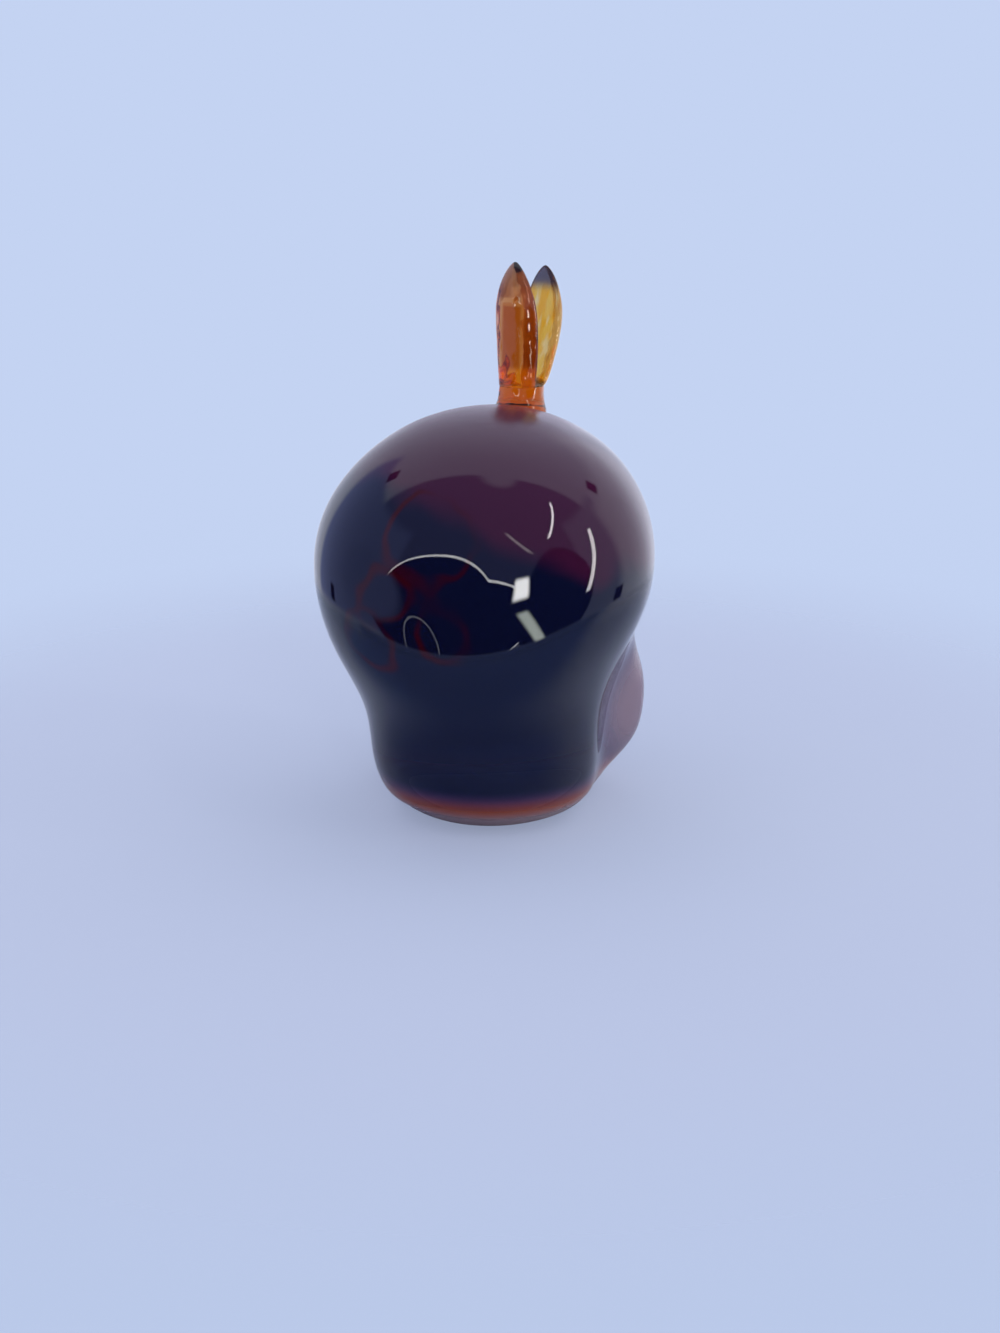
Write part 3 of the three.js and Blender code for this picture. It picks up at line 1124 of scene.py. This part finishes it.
    def floor(self) -> None:
        """Lays the floor, a matt sheet that fades into the backdrop all round."""
        Bench.clear()
        bpy.ops.mesh.primitive_circle_add(vertices=64, radius=self.floor_radius_mm * MM, fill_type="NGON")
        floor = bpy.context.object
        floor.name = "floor"
        material = bpy.data.materials.new("pale_matt_sheet")
        material.use_nodes = True
        tree = material.node_tree
        tree.nodes.clear()
        place = add_node(tree, "ShaderNodeTexCoord").outputs["Object"]
        reach = add_node(tree, "ShaderNodeVectorMath", {0: place}, operation="LENGTH").outputs["Value"]
        fade = add_node(tree, "ShaderNodeMapRange", {
            "Value": reach, "From Min": self.floor_fade_mm[0] * MM, "From Max": self.floor_fade_mm[1] * MM},
            interpolation_type="SMOOTHSTEP")
        # The glass mirrors the sheet darker than it is, and part of what the camera sees has no shadow.
        path = add_node(tree, "ShaderNodeLightPath")
        ahead = add_node(tree, "ShaderNodeMapRange", {
            "Value": add_node(tree, "ShaderNodeSeparateXYZ", {"Vector": place}).outputs["Y"],
            "From Min": self.floor_ahead_mm[0] * MM, "From Max": self.floor_ahead_mm[1] * MM,
            "To Min": 1.0, "To Max": 0.0}, interpolation_type="SMOOTHSTEP")
        mirrored = add_node(tree, "ShaderNodeMath", {
            0: path.outputs["Is Glossy Ray"], 1: ahead.outputs["Result"]}, operation="MULTIPLY")
        sheet = add_node(tree, "ShaderNodeMix", {
            "Factor": mirrored.outputs[0], UNDER: linear(self.floor_hex),
            OVER: linear(self.floor_mirrored_hex)}, data_type="RGBA")
        lit = add_node(tree, "ShaderNodeBsdfPrincipled", {
            "Base Color": sheet.outputs[MIXED], "Roughness": 0.9, "Specular IOR Level": 0.2})
        pale = add_node(tree, "ShaderNodeEmission", {"Color": linear(self.floor_seen_hex), "Strength": 1.0})
        seen = add_node(tree, "ShaderNodeMath", {
            0: path.outputs["Is Camera Ray"], 1: self.floor_seen_share}, operation="MULTIPLY")
        matt = add_node(tree, "ShaderNodeMixShader", {
            0: seen.outputs[0], 1: lit.outputs["BSDF"], 2: pale.outputs["Emission"]})
        clear = add_node(tree, "ShaderNodeBsdfTransparent")
        mixed = add_node(tree, "ShaderNodeMixShader", {
            0: fade.outputs["Result"], 1: matt.outputs["Shader"], 2: clear.outputs["BSDF"]})
        add_node(tree, "ShaderNodeOutputMaterial", {"Surface": mixed.outputs["Shader"]})
        floor.data.materials.append(material)

    def world(self) -> None:
        """Lights the tent all round, with a pale backdrop for what is seen past or through the object."""
        world = bpy.data.worlds.new("light_tent")
        bpy.context.scene.world = world
        world.use_nodes = True
        tree = world.node_tree
        tree.nodes.clear()
        way = add_node(tree, "ShaderNodeSeparateXYZ", {
            "Vector": add_node(tree, "ShaderNodeTexCoord").outputs["Generated"]})
        forward = add_node(tree, "ShaderNodeMath", {0: way.outputs["Y"], 1: -1.0}, operation="MULTIPLY")
        turn = add_node(tree, "ShaderNodeMath", {0: way.outputs["X"], 1: forward.outputs[0]},
                        operation="ARCTAN2")
        rise = add_node(tree, "ShaderNodeMath", {0: way.outputs["Z"]}, operation="ARCSINE")
        colour = add_node(tree, "ShaderNodeRGB")
        colour.outputs[0].default_value = linear(self.tent_hex)
        painted = colour.outputs[0]
        for panel in self.panels:
            share = self._share(tree, panel, turn.outputs[0], rise.outputs[0])
            glow = (*(c * panel.strength for c in linear(panel.colour_hex)[:3]), 1.0)
            painted = add_node(tree, "ShaderNodeMix", {"Factor": share, UNDER: painted, OVER: glow},
                               data_type="RGBA").outputs[MIXED]
        tent = add_node(tree, "ShaderNodeBackground", {"Color": painted, "Strength": 1.0})
        climb = add_node(tree, "ShaderNodeMapRange", {
            "Value": rise.outputs[0], "From Min": math.radians(self.climb_degrees[0]),
            "From Max": math.radians(self.climb_degrees[1])}, interpolation_type="SMOOTHSTEP")
        backdrop = add_node(tree, "ShaderNodeMix", {
            "Factor": climb.outputs["Result"], UNDER: linear(self.low_hex), OVER: linear(self.high_hex)},
            data_type="RGBA")
        pale = add_node(tree, "ShaderNodeBackground", {"Color": backdrop.outputs[MIXED], "Strength": 1.0})
        path = add_node(tree, "ShaderNodeLightPath")
        seen = add_node(tree, "ShaderNodeMath", {
            0: path.outputs["Is Camera Ray"], 1: path.outputs["Is Transmission Ray"]}, operation="MAXIMUM")
        mixed = add_node(tree, "ShaderNodeMixShader", {
            0: seen.outputs[0], 1: tent.outputs["Background"], 2: pale.outputs["Background"]})
        add_node(tree, "ShaderNodeOutputWorld", {"Surface": mixed.outputs["Shader"]})

    @staticmethod
    def _share(tree: bpy.types.NodeTree, panel: Panel, turn: bpy.types.NodeSocket,
               rise: bpy.types.NodeSocket) -> bpy.types.NodeSocket:
        """Finds how much of a direction a panel fills.

        Args:
            tree: The world's node tree.
            panel: The panel.
            turn: The direction's angle from the front, in radians.
            rise: The direction's angle above the level, in radians.

        Returns:
            An output that is 1 on the panel and 0 beside it.
        """
        leant = add_node(tree, "ShaderNodeMath", {0: rise, 1: -panel.lean, 2: turn},
                         operation="MULTIPLY_ADD")
        spans = ((leant.outputs[0], panel.left, panel.right), (rise, panel.low, panel.high))
        parts = []
        for angle, start, end in spans:
            middle, half = math.radians(start + end) / 2, math.radians(end - start) / 2
            away = add_node(tree, "ShaderNodeMath", {0: angle, 1: middle}, operation="SUBTRACT")
            if panel.arched:
                scaled = add_node(tree, "ShaderNodeMath", {0: away.outputs[0], 1: half}, operation="DIVIDE")
                parts.append(add_node(tree, "ShaderNodeMath", {0: scaled.outputs[0], 1: scaled.outputs[0]},
                                      operation="MULTIPLY").outputs[0])
            else:
                size = add_node(tree, "ShaderNodeMath", {0: away.outputs[0]}, operation="ABSOLUTE")
                soft = math.radians(panel.soft)
                parts.append(add_node(tree, "ShaderNodeMapRange", {
                    "Value": size.outputs[0], "From Min": half - soft, "From Max": half + soft,
                    "To Min": 1.0, "To Max": 0.0}, interpolation_type="SMOOTHSTEP").outputs["Result"])
        if not panel.arched:
            both = add_node(tree, "ShaderNodeMath", {0: parts[0], 1: parts[1]}, operation="MULTIPLY")
            return both.outputs[0]
        total = add_node(tree, "ShaderNodeMath", {0: parts[0], 1: parts[1]}, operation="ADD")
        return add_node(tree, "ShaderNodeMapRange", {
            "Value": total.outputs[0], "From Min": 1 - panel.soft, "From Max": 1 + panel.soft,
            "To Min": 1.0, "To Max": 0.0}, interpolation_type="SMOOTHSTEP").outputs["Result"]

    def lamps(self) -> None:
        """Hangs a wide soft lamp over the tent; the roof diffuses it, so it has no image of its own."""
        lamp = bpy.data.lights.new("roof_softbox", "AREA")
        lamp.shape = "RECTANGLE"
        lamp.size = self.roof_side_m
        lamp.size_y = self.roof_side_m
        lamp.energy = self.roof_watts
        roof = bpy.data.objects.new("roof_softbox", lamp)
        roof.location = self.roof_place_m
        roof.visible_glossy = False
        roof.visible_camera = False
        bpy.context.scene.collection.objects.link(roof)

    def build(self) -> None:
        """Sets up the whole studio."""
        self.camera()
        self.floor()
        self.world()
        self.lamps()
        bpy.context.scene.view_settings.view_transform = "Standard"


def main() -> None:
    logging.basicConfig(level=logging.INFO, format="%(name)s: %(message)s")
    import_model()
    ruby, brown, straw = RUBY.make(), BROWN_AMBER.make(), STRAW_AMBER.make()
    body, tail = WhaleBody(), WhaleTail()
    Bench.finish(body.build(tail), "body", Slot.RUBY, ruby)
    Bench.finish(tail.build_stem(body), "tail_stem", Slot.AMBER, brown)
    for leaf, glass in zip(tail.leaves, (brown, straw)):
        Bench.finish(tail.build_leaf(body, leaf), leaf.node, Slot.AMBER, glass)
    Studio().build()


if __name__ == "__main__":
    main()
